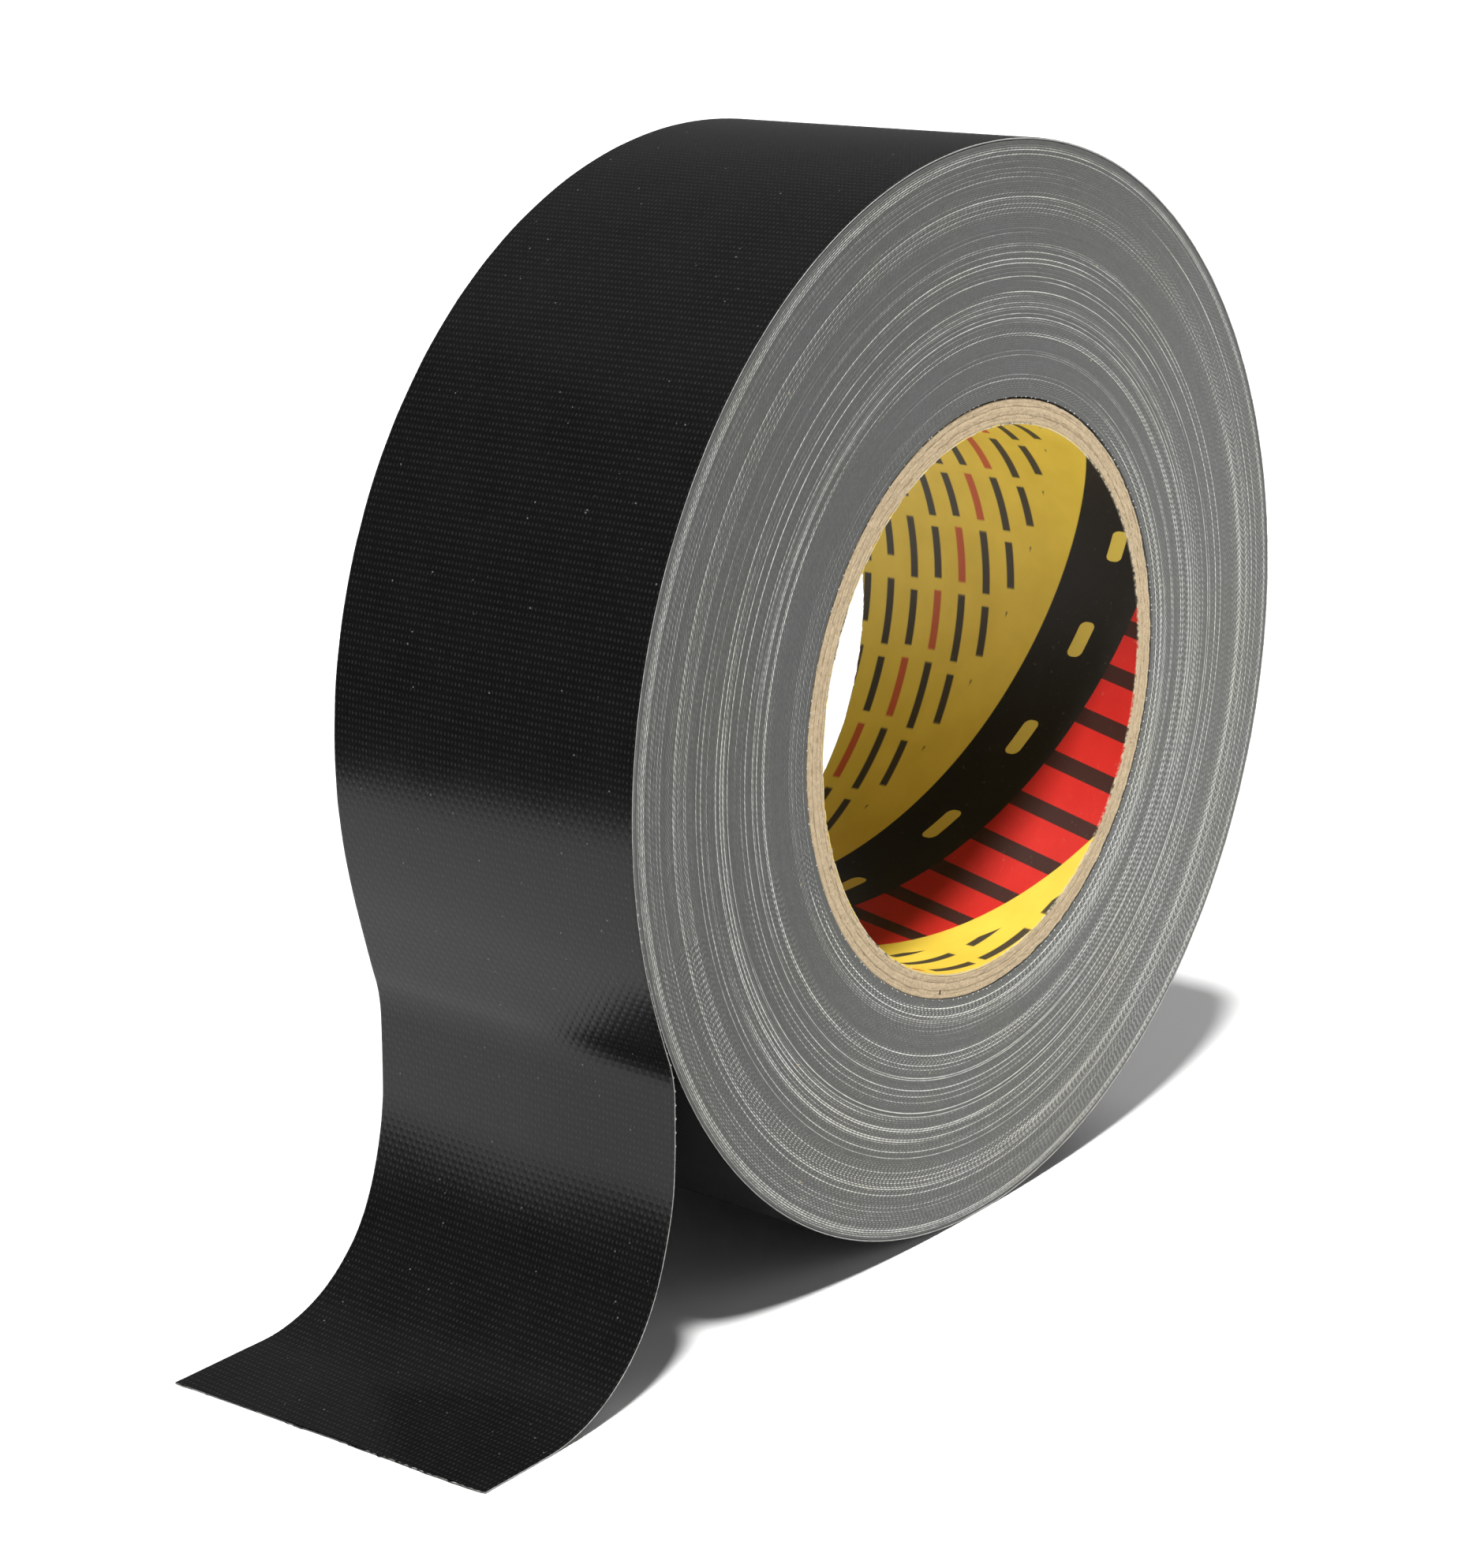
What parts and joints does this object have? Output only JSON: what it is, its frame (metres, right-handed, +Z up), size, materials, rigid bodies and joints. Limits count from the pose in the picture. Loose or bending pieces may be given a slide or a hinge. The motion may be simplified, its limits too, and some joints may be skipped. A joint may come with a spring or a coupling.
{
  "type": "duct tape roll",
  "caption": "Roll of black cloth-backed adhesive tape wound on a spiral board core, standing on its round edge with a loose tail that peels, curls and lies on the floor.",
  "frame": {"origin": "on the floor, straight below the roll's axis, at mid-width", "axes": "+Y along the roll's axis, +X away from the free tail, +Z up"},
  "size_m": [0.1814, 0.05, 0.1515],
  "materials": {
    "liner": "satin print",
    "board": "matte, fibrous",
    "pack": "matte cut edges",
    "film": "satin over a woven cloth",
    "cloth": "matte",
    "adhesive": "satin, tacky"
  },
  "bodies": {
    "roll": {"core_liner": "liner", "core_ply_1": "board", "core_ply_2": "board", "core_ply_3": "board", "core_ply_4": "board", "core_ply_5": "board", "core_ply_6": "board", "wound_tape": "pack", "outer_turn_film": "film", "outer_turn_cloth": "cloth", "outer_turn_adhesive": "adhesive"},
    "tail_1": {"tail_1_film": "film", "tail_1_cloth": "cloth", "tail_1_adhesive": "adhesive"},
    "tail_2": {"tail_2_film": "film", "tail_2_cloth": "cloth", "tail_2_adhesive": "adhesive"},
    "tail_3": {"tail_3_film": "film", "tail_3_cloth": "cloth", "tail_3_adhesive": "adhesive"},
    "tail_4": {"tail_4_film": "film", "tail_4_cloth": "cloth", "tail_4_adhesive": "adhesive"},
    "tail_5": {"tail_5_film": "film", "tail_5_cloth": "cloth", "tail_5_adhesive": "adhesive"},
    "tail_6": {"tail_6_film": "film", "tail_6_cloth": "cloth", "tail_6_adhesive": "adhesive"},
    "tail_7": {"tail_7_film": "film", "tail_7_cloth": "cloth", "tail_7_adhesive": "adhesive"},
    "tail_8": {"tail_8_film": "film", "tail_8_cloth": "cloth", "tail_8_adhesive": "adhesive"},
    "tail_9": {"tail_9_film": "film", "tail_9_cloth": "cloth", "tail_9_adhesive": "adhesive"}
  },
  "joints": [
    {"name": "tail_peel", "type": "hinge", "parent": "roll", "child": "tail_1", "pos_m": [-0.07328, 0, 0.05603], "axis": [0, 1, 0], "range_deg": [0, 60]},
    {"name": "tail_curl", "type": "hinge", "parent": "tail_1", "child": "tail_2", "pos_m": [-0.07092, 0, 0.0472], "axis": [0, 1, 0], "range_deg": [-13.66, 5]},
    {"name": "tail_curl_3", "type": "hinge", "parent": "tail_2", "child": "tail_3", "pos_m": [-0.06917, 0, 0.03829], "axis": [0, 1, 0], "range_deg": [-18.2, 6.7]},
    {"name": "tail_curl_4", "type": "hinge", "parent": "tail_3", "child": "tail_4", "pos_m": [-0.06917, 0, 0.02915], "axis": [0, 1, 0], "range_deg": [-13.2, 4.9]},
    {"name": "tail_curl_5", "type": "hinge", "parent": "tail_4", "child": "tail_5", "pos_m": [-0.07016, 0, 0.02009], "axis": [0, 1, 0], "range_deg": [-22.4, 8.2]},
    {"name": "tail_curl_6", "type": "hinge", "parent": "tail_5", "child": "tail_6", "pos_m": [-0.07358, 0, 0.01165], "axis": [0, 1, 0], "range_deg": [-25.3, 9.3]},
    {"name": "tail_curl_7", "type": "hinge", "parent": "tail_6", "child": "tail_7", "pos_m": [-0.07946, 0, 0.00474], "axis": [0, 1, 0], "range_deg": [-30.5, 11.2]},
    {"name": "tail_curl_8", "type": "hinge", "parent": "tail_7", "child": "tail_8", "pos_m": [-0.08762, 0, 0.00078], "axis": [0, 1, 0], "range_deg": [-32.4, 11.9]},
    {"name": "tip_lift", "type": "hinge", "parent": "tail_8", "child": "tail_9", "pos_m": [-0.09671, 0, 0.00013], "axis": [0, 1, 0], "range_deg": [0, 60]}
  ],
  "couplings": [
    {"joint": "tail_curl_3", "follows": "tail_curl", "ratio": 1.327},
    {"joint": "tail_curl_4", "follows": "tail_curl", "ratio": 0.9573},
    {"joint": "tail_curl_5", "follows": "tail_curl", "ratio": 1.6298},
    {"joint": "tail_curl_6", "follows": "tail_curl", "ratio": 1.8475},
    {"joint": "tail_curl_7", "follows": "tail_curl", "ratio": 2.2268},
    {"joint": "tail_curl_8", "follows": "tail_curl", "ratio": 2.367}
  ]
}
